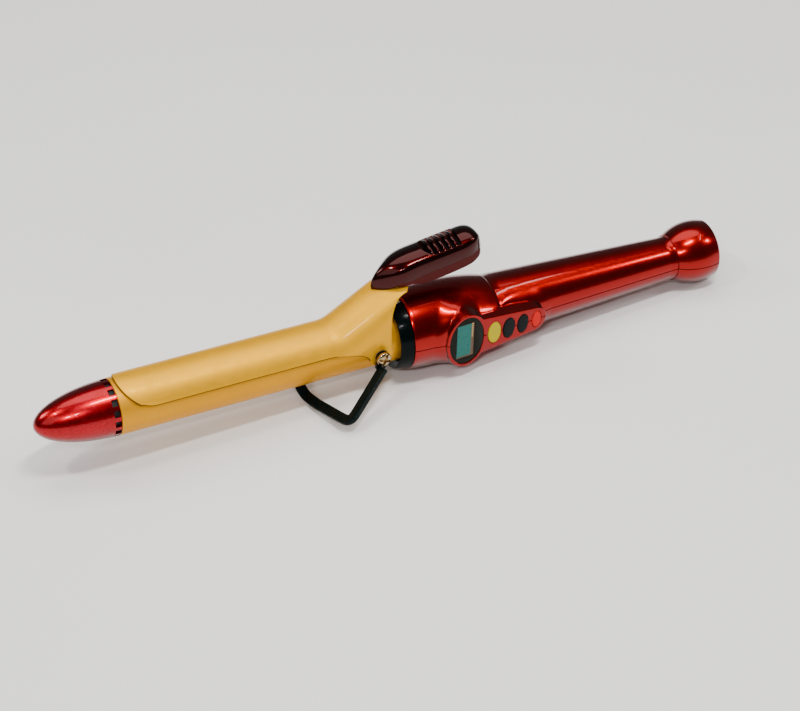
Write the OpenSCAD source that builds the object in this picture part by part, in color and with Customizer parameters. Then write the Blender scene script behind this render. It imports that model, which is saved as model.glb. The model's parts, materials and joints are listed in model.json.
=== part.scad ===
// Spring-clamp curling iron with a folding wire rest and a display panel in its handle.
//
// Every part is drawn along the barrel's axis: x runs from the nose of the tip to the
// cord end, the control panel faces -y and the thumb lever is on top. placed() then leans
// the iron on its rest and puts the origin under the middle of the whole iron.

/* [Barrel] */
// Outer diameter of the heated barrel
barrel_d = 25.4; // [25:0.1:25.6]
// Wall thickness of the barrel tube
barrel_wall = 0.8; // [0.6:0.1:1]
// Length of the cool tip
tip_len = 35.4; // [33:0.2:37]
// Number of vent slots around the base of the tip
vent_count = 16; // [12:1:16]
// Width of each vent slot
vent_w = 2.9; // [2:0.1:3]

/* [Clamp] */
// Thickness of the clamp's sheet
sheet = 0.7; // [0.6:0.05:0.8]
// Gap between the clamp and the barrel
clamp_gap = 0.25; // [0.2:0.05:0.3]
// Height of the clamp's long edges above the barrel's axis
clamp_edge_z = 4.9; // [3:0.1:6]
// Length of the thumb lever
lever_len = 54; // [52:0.5:55]
// Width of the thumb lever
lever_w = 16.4; // [15:0.2:17]
// Number of grip grooves across the thumb lever
groove_count = 6; // [4:1:6]

/* [Handle] */
// Largest radius of the handle's head
head_r_max = 18.9; // [18.7:0.1:19]
// Radius of the handle just behind the shoulder
handle_front_r = 15.0; // [14.9:0.1:15.2]
// Radius of the handle where the bell starts
handle_end_r = 10.2; // [10:0.1:10.4]
// Largest radius of the bell at the cord end
bell_r_max = 14.6; // [14.4:0.1:14.8]
// Wall thickness of the handle shells
shell_wall = 1.8; // [1.6:0.1:2]
// Seam left open between the two shells
seam_gap = 0.3; // [0.2:0.05:0.4]

/* [Controls] */
// Width of the oval display window, along the handle
window_w = 17.4; // [17.2:0.1:17.6]
// Height of the oval display window
window_h = 24.8; // [24.4:0.1:25]
// Distance from one button to the next
button_pitch = 7.4; // [7.35:0.05:7.55]
// Travel of a button
button_travel = 0.7; // [0.5:0.1:0.8]

/* [Rest] */
// Width of the rest's strip
strip_w = 4.8; // [4.4:0.1:5]
// Thickness of the rest's strip
strip_t = 2.0; // [1.8:0.1:2.2]
// Angle of the rest forward of straight down
rest_angle = 62; // [60:0.5:64]

/* [Hidden] */

turn_fn = 128;
hole_fn = 48;
hull_fn = 32;

gold = [0.86, 0.66, 0.24];
candy_red = [0.70, 0.06, 0.03];
dark_red = [0.32, 0.03, 0.02];
near_black = [0.03, 0.06, 0.06];
steel = [0.75, 0.75, 0.72];
brass = [0.80, 0.62, 0.30];
ceramic = [0.90, 0.88, 0.82];
copper = [0.75, 0.42, 0.22];

barrel_r = barrel_d / 2;
bore_r = barrel_r - barrel_wall;
barrel_end_x = 187;
vent_len = 3.2;

// Stations along the axis
clamp_front_x = 37.1;
flare_x = 136.7;
flare_rise = 31;
pivot = [156.5, -0.5];
collar_front_x = 165.2;
shell_front_x = 171.3;
head_mid_x = 186;
head_half = 50;
shoulder_x = 215.2;
bell_x = 311.7;
bell_mid_x = 325.5;
bell_arc_r = 24;
end_x = 333;
rim_round = 1.6;
flange_x = 176.5;
flange_t = 4.8;

// Clamp
clamp_in_r = barrel_r + clamp_gap;
clamp_out_r = clamp_in_r + sheet;
ear_in_y = clamp_in_r;
ear_out_y = ear_in_y + sheet;
ear_r = 5.6;
mitre_x = flare_x + clamp_out_r * tan(flare_rise / 2);
bush_r = 2.2;
pivot_clearance = 0.08;
washer_t = 0.35;
eyelet_in_y = ear_out_y + washer_t + 0.2;
eyelet_t = 1.6;
eyelet_r = 3.3;
screw_seat_y = eyelet_in_y + eyelet_t + 0.1;
screw_head_r = 3.4;

// Thumb lever, drawn level and then pitched up towards the rear
lever_start = [157, 26.6];
lever_pitch = 8.5;
lever_h = 12.4;
base_t = 2.2;
split_bend_u = 26;
split_rise = 0.066;
tongue_w = 11;
lever_screw_u = [26, 41];
first_groove_u = 27.3;
groove_pitch = 2.87;
groove_w = 1.4;

// Control panel: a flat face on the -y side, turned a little towards the rear
panel_x = 196;
panel_y = 20.1;
panel_slope = 3.4;
boss_rim = 1.6;
bar_front = [3, 9.9];
bar_rear = [35.2, 6.4];
first_button_u = 14.2;
button_sizes = [[6.5, 11.1], [6.0, 10.6], [5.4, 9.8], [4.5, 8.4]];
switch_h = 2.4;
board_depth = 6.3;
board_t = 1.4;

// Rest
rest_root = [155.3, -5.2];
strip_line = [[17.4, -0.2], [19.7, 3.6], [22, 7.5], [26.3, 15], [29.9, 21.4], [30.7, 24.4],
    [28.4, 26.5], [16.5, 30.4], [8, 32.9], [0, 34]];

// The table touches the lower edge of the rest's foot and the bell's round crown
foot_rho = strip_line[len(strip_line) - 1][1] + strip_w / 2;
foot = [rest_root[0] - foot_rho * sin(rest_angle) + strip_t / 2 * cos(rest_angle),
    rest_root[1] - foot_rho * cos(rest_angle) - strip_t / 2 * sin(rest_angle)];
bell_centre = [bell_mid_x, bell_arc_r - bell_r_max];
to_bell = bell_centre - foot;
tilt = atan2(to_bell[1], to_bell[0]) - asin(bell_arc_r / norm(to_bell));
rim_r = bell_r(end_x - rim_round);
front_reach = norm([tip_len * cos(tilt), barrel_r * sin(tilt)]) - tip_len * cos(tilt);
rear_reach = (end_x - rim_round) * cos(tilt) + (rim_r - rim_round) * sin(tilt) + rim_round;
mid_x = (rear_reach - front_reach) / (2 * cos(tilt));
lift = (foot[0] - mid_x) * sin(tilt) - foot[1] * cos(tilt);

function head_r(x) = head_r_max * sqrt(1 - pow((x - head_mid_x) / head_half, 2));
function handle_r(x) = handle_front_r
    - (handle_front_r - handle_end_r) * (x - shoulder_x) / (bell_x - shoulder_x);
function bell_r(x) = bell_r_max - bell_arc_r + sqrt(pow(bell_arc_r, 2) - pow(x - bell_mid_x, 2));
function shell_r(x) = x < shoulder_x ? head_r(x) : x < bell_x ? handle_r(x) : bell_r(x);
function ellipse_points(w, h, n = 48) =
    [for (i = [0:n - 1]) [w / 2 * cos(360 * i / n), h / 2 * sin(360 * i / n)]];
function spline_point(a, b, c, d, t) = 0.5 * (2 * b + (c - a) * t
    + (2 * a - 5 * b + 4 * c - d) * t * t + (3 * b - a - 3 * c + d) * t * t * t);
function smooth(p, steps) = let (n = len(p) - 1) [
    for (i = [0:n - 1], k = [0:steps - 1]) spline_point(i == 0 ? p[0] : p[i - 1], p[i], p[i + 1],
        i == n - 1 ? [-p[n - 1][0], p[n - 1][1]] : p[i + 2], k / steps), p[n]];
function side_points(line, offset) = [for (i = [0:len(line) - 1])
    let (d = line[min(i + 1, len(line) - 1)] - line[max(i - 1, 0)], u = d / norm(d))
    line[i] + offset * [-u[1], u[0]]];
function clear_points(p, line, gap) = [for (q = p) if (min([for (c = line) norm(q - c)]) > gap) q];
function reversed(p) = [for (i = [len(p) - 1:-1:0]) p[i]];
function both_sides(p) = concat(p, [for (i = [len(p) - 2:-1:0]) [-p[i][0], p[i][1]]]);

// Frames and building blocks
module placed() {
    translate([0, 0, lift]) rotate([0, tilt, 0]) translate([-mid_x, 0, 0]) children();
}

// Turns an outline of [radius, station] points around the barrel's axis
module turned(outline) {
    rotate([0, 90, 0]) rotate_extrude($fn = turn_fn) polygon(outline);
}

module ring(x, length, r_out, r_in) {
    turned([[r_in, x], [r_out, x], [r_out, x + length], [r_in, x + length]]);
}

module rod_x(x, length, r, y = 0, z = 0) {
    translate([x, y, z]) rotate([0, 90, 0]) cylinder(h = length, r = r, $fn = hole_fn);
}

// A cylinder square to the side face, from depth y0 outwards, on side s (-1 or 1)
module side_pin(s, y0, length, r, at = pivot) {
    translate([at[0], s * y0, at[1]]) rotate([-90 * s, 0, 0]) cylinder(h = length, r = r, $fn = hole_fn);
}

// Side-view outline of [x, z] points, pushed out both ways along y
module across(width) {
    rotate([90, 0, 0]) linear_extrude(width, center = true) children();
}

// Panel frame: u along the iron, v upwards, w outwards from the panel's face
module on_panel() {
    translate([panel_x, -panel_y, 0]) rotate([0, 0, panel_slope]) rotate([90, 0, 0]) children();
}

module oval(w, h, from, to) {
    translate([0, 0, from]) linear_extrude(to - from) polygon(ellipse_points(w, h));
}

// Barrel
module barrel_tip() {
    nose = [for (a = [0:4:88]) [barrel_r * sin(a), tip_len * (1 - cos(a))]];
    color(candy_red) placed() difference() {
        turned(concat(nose, [[barrel_r, tip_len - 0.05], [10.2, tip_len - 0.05],
            [10.2, tip_len + 6], [8.6, tip_len + 6], [8.6, tip_len - 8], [5, 14], [0, 10]]));
        for (i = [0:vent_count - 1]) rotate([i * 360 / vent_count, 0, 0])
            translate([tip_len - vent_len, -vent_w / 2, 10.9]) cube([vent_len + 1, vent_w, 4]);
    }
}

module vent_liner() {
    color(near_black) placed() ring(tip_len + 0.05, 6, bore_r - 0.1, 10.25);
}

module barrel_tube() {
    color(gold) placed() difference() {
        ring(tip_len, barrel_end_x - tip_len, barrel_r, bore_r);
        for (s = [-1, 1]) side_pin(s, 5, 12, bush_r + 0.02);
    }
}

module heater_half(s) {
    heater_x = 50;
    heater_len = 84;
    difference() {
        rod_x(heater_x, heater_len, bore_r - 0.1);
        translate([heater_x - 1, -20, s > 0 ? -20 : -1.5]) cube([heater_len + 2, 40, 21.5]);
        rod_x(heater_x - 1, heater_len + 2, 1.8, 0, s * 6.2);
    }
}

module heater_shell_upper() {
    color(steel) placed() heater_half(1);
}

module heater_shell_lower() {
    color(steel) placed() heater_half(-1);
}

module heater_element() {
    color(ceramic) placed() translate([54, -7, -1.4]) cube([76, 14, 2.8]);
}

module temperature_sensor() {
    color(brass) placed() {
        rod_x(100, 9, 1.6, 0, 6.2);
        rod_x(108, 92, 0.5, 0, 6.2);
    }
}

module thermal_fuse() {
    color(steel) placed() {
        rod_x(137, 11, 2, 0, -6.2);
        rod_x(130, 72, 0.5, 0, -6.2);
    }
}

module heater_leads() {
    lead_end_x = 203;
    color(ceramic) placed() for (s = [-1, 1]) {
        rod_x(130.2, lead_end_x - 130.2, 0.9, s * 4, 0);
        translate([lead_end_x, s * 4, 0]) sphere(r = 0.9, $fn = 24);
    }
}

module barrel_flange() {
    color(ceramic) placed() ring(flange_x, flange_t, 16.2, barrel_r + 0.02);
}

// Hinge
module hinge_bushes() {
    color(brass) placed() for (s = [-1, 1]) difference() {
        union() {
            side_pin(s, 9.9, 0.9, 4);
            side_pin(s, 10.7, screw_seat_y - 0.05 - 10.7, bush_r);
        }
        side_pin(s, 9, 10, 1.55);
    }
}

module hinge_screws() {
    color(steel) placed() for (s = [-1, 1]) difference() {
        union() {
            side_pin(s, 10, screw_seat_y - 10, 1.5);
            side_pin(s, screw_seat_y, 1.2, screw_head_r);
            intersection() {
                translate([pivot[0], s * (screw_seat_y - 2.4), pivot[1]]) sphere(r = 4.4, $fn = 64);
                side_pin(s, screw_seat_y, 2.1, screw_head_r);
            }
        }
        for (a = [45, 135]) translate([pivot[0], s * (screw_seat_y + 2.4), pivot[1]])
            rotate([0, a, 0]) cube([4.4, 2.8, 0.8], center = true);
    }
}

module rest_washers() {
    color(steel) placed() for (s = [-1, 1]) difference() {
        side_pin(s, ear_out_y + 0.1, washer_t, 3.2);
        side_pin(s, ear_out_y - 1, 4, bush_r + 0.02);
    }
}

module collar_ring() {
    color(near_black) placed() turned([[barrel_r + 0.1, 167.4], [15.9, collar_front_x],
        [16.3, collar_front_x + 0.1], [17.75, shell_front_x - 0.5], [17.75, shell_front_x - 0.1],
        [15.9, shell_front_x - 0.1], [15.9, shell_front_x + 2], [barrel_r + 0.1, shell_front_x + 2]]);
}

// Handle shells
module shell_blank() {
    head = [for (x = [shell_front_x:2.2:shoulder_x - 2]) [head_r(x), x]];
    bell = [for (x = [bell_x + 2.2:1.6:end_x - rim_round]) [bell_r(x), x]];
    rim = [for (a = [75:-25:0]) [rim_r - rim_round + rim_round * sin(a), end_x - rim_round * (1 - cos(a))]];
    turned(concat([[0, shell_front_x]], head, [[head_r(shoulder_x - 0.9), shoulder_x - 0.9],
        [handle_front_r + 0.15, shoulder_x], [handle_r(shoulder_x), shoulder_x + 0.3],
        [handle_end_r, bell_x], [handle_end_r + 0.8, bell_x + 0.3]], bell, rim,
        [[rim_r - 2.2, end_x], [7.4, 328.6], [0, 328.6]]));
    on_panel() {
        hull() {
            oval(window_w + 2 * boss_rim, window_h + 2 * boss_rim, -1.2, 0);
            oval(window_w + 2 * boss_rim + 1.2, window_h + 2 * boss_rim + 1.2, -9, -6);
        }
        hull() for (e = [bar_front, bar_rear]) translate([e[0], 0, -8])
            cylinder(h = 7.6, r1 = e[1] + 1.4, r2 = e[1], $fn = hull_fn);
    }
}

// What the shells leave free inside
module shell_hollow() {
    inside_x = [shell_front_x - 1, 180, 190, 200, 208, 214, shoulder_x + 1, 240, 280, bell_x];
    difference() {
        turned(concat([[0, shell_front_x - 1]], [for (x = inside_x) [shell_r(x) - shell_wall, x]],
            [[shell_r(320) - shell_wall, 320], [shell_r(326) - shell_wall, 326], [0, 326]]));
        ring(flange_x - 1.5, 1.4, 18, 14.6);
        ring(flange_x + flange_t + 0.1, 1.4, 18, 14.6);
        ring(315, 1.4, 13, 7.2);
        ring(319.2, 1.4, 14, 7.2);
        for (b = screw_places) translate([b[0], b[1], -18]) cylinder(h = 36, r = 3.4, $fn = hole_fn);
    }
    rod_x(325, 10, 7.0);
    on_panel() {
        oval(window_w + 0.1, window_h + 0.1, -2.3, 1);
        oval(window_w - 1, window_h - 1, -9, 1);
        translate([0, 0, -9.5]) linear_extrude(7.5) hull() for (e = [bar_front + [9, -1.4], bar_rear])
            translate([e[0], 0]) circle(r = e[1] - 1.3, $fn = hole_fn);
        for (i = [0:3]) translate([button_u(i), 0, 0])
            oval(button_sizes[i][0] + 0.4, button_sizes[i][1] + 0.4, -3, 1);
    }
}

screw_places = [[226, 5], [264, 0], [300, 0]];
function button_u(i) = first_button_u + i * button_pitch;

module screw_space() {
    for (b = screw_places) {
        translate([b[0], b[1], -30]) cylinder(h = 38, r = 1.2, $fn = hole_fn);
        translate([b[0], b[1], -30]) cylinder(h = 30 - 2, r = 1.6, $fn = hole_fn);
        translate([b[0], b[1], -30]) cylinder(h = 30 - 5, r = 2.9, $fn = hole_fn);
    }
}

module shell_half(s) {
    difference() {
        shell_blank();
        shell_hollow();
        screw_space();
        translate([150, -50, s > 0 ? -60 + seam_gap / 2 : -seam_gap / 2]) cube([200, 100, 60]);
    }
}

module upper_shell() {
    color(candy_red) placed() shell_half(1);
}

module lower_shell() {
    color(candy_red) placed() shell_half(-1);
}

module shell_screws() {
    color(steel) placed() for (b = screw_places) translate([b[0], b[1], 0]) {
        translate([0, 0, -6.9]) cylinder(h = 1.85, r = 2.5, $fn = hole_fn);
        translate([0, 0, -5.2]) cylinder(h = 12.2, r = 1.15, $fn = hole_fn);
    }
}

// Display
module display_window() {
    color(near_black) placed() on_panel() oval(window_w - 0.1, window_h - 0.1, -1.5, -0.3);
}

module display_mask() {
    color(near_black) placed() on_panel() difference() {
        oval(window_w - 0.1, window_h - 0.1, -2.25, -1.55);
        translate([-5.2, -9, -3]) cube([9.4, 18.2, 2]);
    }
}

module lcd_frame() {
    color(copper) placed() on_panel() difference() {
        translate([-5.2, -8.7, -5.3]) cube([9.3, 17.6, 3]);
        translate([-6, -8.25, -4.2]) cube([8.25, 18, 3]);
    }
}

module lcd_glass() {
    color([0.2, 0.55, 0.52]) placed() on_panel() translate([-5, -8.2, -4.15]) cube([7.2, 16.9, 1.5]);
}

module circuit_board() {
    board = [[-8, 9], [5, 8], [38, 4.2], [38, -4.2], [5, -8], [-8, -9]];
    color([0.1, 0.35, 0.2]) placed() on_panel() difference() {
        translate([0, 0, -board_depth - board_t]) linear_extrude(board_t) polygon(board);
        translate([29.8, 0, -10]) cylinder(h = 6, r = 1.3, $fn = hole_fn);
    }
}

module board_parts() {
    back = -board_depth - board_t;
    color([0.2, 0.2, 0.22]) placed() on_panel() {
        translate([-4, -4, back - 2.05]) cube([8, 8, 2]);
        translate([8, 0, back - 5.55]) cylinder(h = 5.5, r = 3.2, $fn = hole_fn);
        translate([12, -3, back - 3.05]) cube([6, 6, 3]);
        translate([-3.5, -8.2, -board_depth + 0.05]) cube([6, 0.8, 0.8]);
    }
}

module tact_switches() {
    color(steel) placed() on_panel() for (i = [0:3]) translate([button_u(i), 0, 0]) {
        translate([-1.9, -1.9, -board_depth + 0.02]) cube([3.8, 3.8, 1.6]);
        translate([0, 0, -board_depth + 1.5]) cylinder(h = switch_h - 1.5, r = 1, $fn = hole_fn);
    }
}

// A capped oval with a hidden flange that stops it against the inside of the panel
module button(i) {
    w = button_sizes[i][0];
    h = button_sizes[i][1];
    placed() on_panel() translate([button_u(i), 0, 0]) {
        oval(w, h, -2.6, 0.15);
        oval(w - 0.7, h - 0.7, 0.1, 0.35);
        oval(w + 0.8, h + 0.8, -2.7, -2.1);
        translate([0, 0, -board_depth + switch_h + button_travel + 0.05])
            cylinder(h = 0.7, r = 1.2, $fn = hole_fn);
    }
}

module button_power() {
    color([0.80, 0.72, 0.10]) button(0);
}

module button_up() {
    color(near_black) button(1);
}

module button_down() {
    color(near_black) button(2);
}

module button_mode() {
    color([0.90, 0.12, 0.05]) button(3);
}

// Clamp
// Side view of everything above (side 1) or below (side -1) the mitre between jaw and flare
module mitre_side(side) {
    translate([mitre_x + side * 0.1, 0]) rotate(flare_rise / 2) translate([side > 0 ? 0 : -160, -60])
        square([160, 120]);
}

// A round back on flat sides, leaning up from the mitre
module flare_trough(r) {
    back = [for (a = [0:4:180]) [r * sin(a - 90), r * cos(a - 90)]];
    translate([mitre_x, 0, 0]) rotate([0, -flare_rise, 0]) translate([-20, 0, 0])
        rotate([90, 0, 90]) linear_extrude(80) polygon(concat([[-r, -40]], back, [[r, -40]]));
}

// Side view of the flare: the ear, the sweep up to the long edge, the curved rear edge and the flat roof
module flare_profile() {
    sweep = [for (t = [0:0.125:1]) [130 + 21.2 * sin(90 * t), -2 + (clamp_edge_z + 2) * cos(90 * t)]];
    rear = [for (a = [0:10:80]) [172.6 - 11.4 * cos(a), 13 + 15.5 * sin(a)]];
    roof = [for (x = [172.6, 120]) [x, lever_start[1] - 0.12 + (x - lever_start[0]) * tan(lever_pitch)]];
    polygon(concat([[120, sweep[0][1]]], sweep, [pivot - [ear_r - 0.3, 1.5], [161.6, -1.5]], rear,
        roof));
    translate(pivot) circle(r = ear_r, $fn = 64);
}

module clamp_plate() {
    front_r = 12.8;
    front = [for (a = [-90:4:90])
        [clamp_front_x + front_r * (1 - pow(cos(a), 0.87)), front_r * sign(a) * pow(abs(sin(a)), 0.87)]];
    tongue = [[8, -0.82], [15.9, -0.82], [19.4, 2.3], [46, 2.3], [46, 3], [19.1, 3], [15.6, -0.12],
        [8, -0.12]];
    color(gold) placed() {
        intersection() {
            ring(clamp_front_x, 110, clamp_out_r, clamp_in_r);
            translate([0, 0, clamp_edge_z]) linear_extrude(20)
                polygon(concat([[160, -20], [clamp_front_x + front_r, -20]], front,
                    [[clamp_front_x + front_r, 20], [160, 20]]));
            across(60) mitre_side(-1);
        }
        difference() {
            intersection() {
                flare_trough(clamp_out_r);
                across(60) difference() {
                    flare_profile();
                    mitre_side(-1);
                }
            }
            intersection() {
                flare_trough(clamp_in_r);
                lever_frame() translate([-60, -20, -70]) cube([100, 40, 70 - 0.12 - sheet]);
            }
            for (s = [-1, 1]) side_pin(s, 5, 20, bush_r + pivot_clearance);
        }
        lever_frame() difference() {
            across(tongue_w) polygon(tongue);
            for (u = lever_screw_u) translate([u, 0, 0]) cylinder(h = 5, r = 1.3, $fn = hole_fn);
        }
    }
}

module lever_frame() {
    translate([lever_start[0], 0, lever_start[1]]) rotate([0, -lever_pitch, 0]) children();
}

// Top view of the lever: a pointed bow that widens to full width, and a round stern
module lever_plan(inset = 0) {
    bow = [1.2 + 1.6 * inset, 16.6];
    stern = 13;
    half = lever_w / 2 - inset;
    front = [for (t = [0:0.1:1]) [bow[0] + (bow[1] - bow[0]) * t, half * pow(sin(90 * t), 1.15)]];
    back = [for (t = [0:0.1:1]) [lever_len - stern + (stern - inset) * sin(90 * t), half * cos(90 * t)]];
    line = concat(front, back);
    polygon(concat(line, [for (i = [len(line) - 2:-1:1]) [line[i][0], -line[i][1]]]));
}

// Height of the line between the lever's base and its cover
function split_w(u) = base_t + 0.1 + split_rise * max(0, u - split_bend_u);

// Side view of the lever's cover: low at the bow, full height past the middle, rounded stern
module lever_side() {
    top = [for (t = [0:0.1:1]) [24 * (1 - cos(90 * t)), 3.4 + (lever_h - 3.4) * sin(90 * t)]];
    rear = [for (t = [0.2:0.2:1]) [lever_len - 10 + 10 * sin(90 * t),
        split_w(lever_len) + (lever_h - split_w(lever_len)) * cos(90 * t)]];
    polygon(concat([[0, 0.1]], top, rear, [[split_bend_u, split_w(0)], [13.2, split_w(0)], [13.2, 0.1]]));
}

module lever_cover() {
    crown_r = 11;
    inside = concat([for (t = [0:0.1:1]) [4.6 + 19.4 * (1 - cos(90 * t)), 1.6 + 8.2 * sin(90 * t)]],
        [for (t = [0:0.25:1]) [42 + 9 * sin(90 * t), 1.8 + 8 * cos(90 * t)]]);
    color(dark_red) placed() lever_frame() difference() {
        intersection() {
            linear_extrude(20) lever_plan();
            across(30) lever_side();
            translate([-5, 0, lever_h + 0.3 - crown_r]) rotate([0, 90, 0])
                cylinder(h = 70, r = crown_r, $fn = 96);
        }
        difference() {
            intersection() {
                linear_extrude(20) lever_plan(2);
                across(30) polygon(concat([[4.6, 0]], inside, [[51, 0]]));
            }
            for (u = lever_screw_u) translate([u, 0, 3.1]) cylinder(h = 20, r = 2.6, $fn = hole_fn);
        }
        for (u = lever_screw_u) translate([u, 0, 0]) cylinder(h = 9, r = 0.95, $fn = hole_fn);
        for (i = [0:groove_count - 1]) translate([first_groove_u + i * groove_pitch, -6.7, lever_h - 1.4])
            cube([groove_w, 13.4, 4]);
    }
}

// A shallow hull under the cover, hollow above, with a boss for each screw
module lever_base() {
    hull_line = [[13.5, 0], [16.8, 0], [19.5, -0.9], [22, -1.9], [24.5, -2.3], [36, -2.3], [42, -2],
        [47, -1.6], [50.5, -0.9], [lever_len, 0.3]];
    color(dark_red) placed() lever_frame() difference() {
        intersection() {
            translate([0, 0, -4]) linear_extrude(10) lever_plan(0.4);
            across(30) polygon(concat(hull_line, [[lever_len, split_w(lever_len) - 0.1],
                [split_bend_u, base_t], [13.5, base_t]]));
        }
        difference() {
            intersection() {
                translate([0, 0, -4]) linear_extrude(10) lever_plan(2.1);
                across(30) polygon([[21.6, 6], [21.6, -0.4], [24.5, -1.1], [36, -1.1], [47, -0.4],
                    [53, 0.8], [53, 6]]);
            }
            for (u = lever_screw_u) translate([u, 0, -4]) cylinder(h = 4 + base_t, r = 3.6, $fn = hole_fn);
        }
        translate([14.8, -tongue_w / 2 - 0.3, -1]) cube([5.9, tongue_w + 0.6, 5]);
        for (u = lever_screw_u) translate([u, 0, -4]) {
            cylinder(h = 8, r = 1.3, $fn = hole_fn);
            cylinder(h = 5.1, r = 2.5, $fn = hole_fn);
        }
    }
}

module lever_screws() {
    color(steel) placed() lever_frame() for (u = lever_screw_u) translate([u, 0, 0]) {
        translate([0, 0, 0.1]) cylinder(h = 0.95, r = 2.2, $fn = hole_fn);
        translate([0, 0, 0.9]) cylinder(h = 6.9, r = 0.9, $fn = hole_fn);
    }
}

// Leaf spring: fixed under the flare's roof, bent back to press down on the collar
module clamp_spring() {
    leaf_t = 0.5;
    bend_r = 3.2;
    bend_at = [161, 23.1];
    bend = [for (a = [100:28:268]) bend_at + bend_r * [cos(a), sin(a)]];
    path = concat([[168, 27.35]], bend, [[165.5, 18.1], [168.8, 17.5], [170.2, 18.2]]);
    color(steel) placed() across(7) polygon(concat(side_points(path, 0),
        reversed(side_points(path, leaf_t))));
}

// Rest
module rest_strip() {
    tab_t = 2.4;
    tab_len = norm(pivot - rest_root) - 0.4;
    tab_angle = atan2(pivot[0] - rest_root[0], pivot[1] - rest_root[1]);
    line = both_sides(smooth(strip_line, 4));
    inner_line = clear_points(side_points(line, strip_w / 2), line, strip_w / 2 - 0.05);
    color(near_black) placed() difference() {
        union() {
            for (s = [-1, 1]) {
                side_pin(s, eyelet_in_y, eyelet_t, eyelet_r);
                translate([pivot[0], s * (eyelet_in_y + tab_t / 2), pivot[1]]) rotate([0, tab_angle, 0])
                    translate([0, 0, -tab_len / 2]) cube([4.7, tab_t, tab_len], center = true);
                side_pin(s, eyelet_in_y, tab_t, 2.4, pivot - tab_len * [sin(tab_angle), cos(tab_angle)]);
            }
            translate([rest_root[0], 0, rest_root[1]]) rotate([0, rest_angle - 90, 0]) rotate([0, 0, 90])
                linear_extrude(strip_t, center = true) polygon(concat(side_points(line, -strip_w / 2),
                    reversed(inner_line)));
        }
        for (s = [-1, 1]) side_pin(s, 5, 20, bush_r + pivot_clearance);
        for (s = [-1, 1]) side_pin(s, screw_seat_y - 0.1, 10, screw_head_r + 0.3);
    }
}

// Cord inlet
module swivel_gland() {
    color(near_black) placed() difference() {
        turned([[0, 307.9], [2.58, 307.9], [2.58, 313.6], [5.4, 313.6], [5.4, 316.6], [9.2, 316.6],
            [9.2, 319], [6.6, 319], [6.6, 328.4], [5.8, 331.8], [0, 331.8]]);
        rod_x(317, 20, 3.1);
        rod_x(306, 12, 1.6);
    }
}

module slip_rings() {
    color(brass) placed() for (x = [308.6, 311.2]) difference() {
        rod_x(x, 1.8, 4.4);
        rod_x(x - 1, 4, 2.6);
    }
}

module contact_fingers() {
    tip_r = 4.6;
    reach = 3.6;
    color(copper) placed() for (s = [-1, 1])
        translate([s > 0 ? 308.9 : 311.5, -1.5, s > 0 ? tip_r : -tip_r - reach]) cube([1.2, 3, reach]);
}

module supply_leads() {
    color(ceramic) placed() for (s = [-1, 1]) rod_x(238, 70, 0.8, -4.8, s * 2.6);
}

barrel_tip();
vent_liner();
barrel_tube();
heater_shell_upper();
heater_shell_lower();
heater_element();
temperature_sensor();
thermal_fuse();
heater_leads();
barrel_flange();
hinge_bushes();
hinge_screws();
collar_ring();
upper_shell();
lower_shell();
shell_screws();
display_window();
display_mask();
lcd_frame();
lcd_glass();
circuit_board();
board_parts();
tact_switches();
contact_fingers();
supply_leads();
button_power();
button_up();
button_down();
button_mode();
clamp_plate();
lever_base();
lever_cover();
lever_screws();
clamp_spring();
rest_washers();
rest_strip();
swivel_gland();
slip_rings();
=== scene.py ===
"""Looks of the curling iron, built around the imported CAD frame.

Pieces are drawn in millimetres along the barrel's axis: x runs from the nose of the tip to the
cord end, the control panel faces -y and the lever is on top. make() puts them in the row frame.
"""

import json
from math import atan2, cos, hypot, pi, radians, sin, sqrt, tan

import bmesh
import bpy
from mathutils import Matrix, Vector


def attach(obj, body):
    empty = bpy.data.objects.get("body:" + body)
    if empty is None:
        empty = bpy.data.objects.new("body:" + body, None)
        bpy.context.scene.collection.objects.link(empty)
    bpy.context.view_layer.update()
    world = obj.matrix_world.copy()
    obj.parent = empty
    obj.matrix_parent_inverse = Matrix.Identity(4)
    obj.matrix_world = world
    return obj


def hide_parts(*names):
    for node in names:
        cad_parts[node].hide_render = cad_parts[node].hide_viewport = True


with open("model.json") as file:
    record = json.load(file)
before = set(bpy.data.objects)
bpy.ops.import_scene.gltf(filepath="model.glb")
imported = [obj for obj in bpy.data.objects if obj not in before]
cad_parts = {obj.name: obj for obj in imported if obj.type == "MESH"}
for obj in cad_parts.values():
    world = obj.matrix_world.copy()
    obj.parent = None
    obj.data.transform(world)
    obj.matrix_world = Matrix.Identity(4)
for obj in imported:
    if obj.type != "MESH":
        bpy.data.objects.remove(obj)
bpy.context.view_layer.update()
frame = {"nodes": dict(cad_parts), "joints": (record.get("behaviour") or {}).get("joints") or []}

# ---------------------------------------------------------------- the iron's own axes
JOINTS = {j["name"]: j for j in frame["joints"]}
EX = Vector(JOINTS["cord_swivel"]["axis"]).normalized()
EY = Vector((0, 1, 0))
EZ = EX.cross(EY)
SWIVEL_AT = 0.325  # metres from the tip's nose to the swivel's place along the axis
ORIGIN = Vector(JOINTS["cord_swivel"]["pos_m"]) - SWIVEL_AT * EX
MM = 0.001
TO_ROW = Matrix((
    (EX.x * MM, EY.x * MM, EZ.x * MM, ORIGIN.x),
    (EX.y * MM, EY.y * MM, EZ.y * MM, ORIGIN.y),
    (EX.z * MM, EY.z * MM, EZ.z * MM, ORIGIN.z),
    (0, 0, 0, 1),
))

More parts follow.
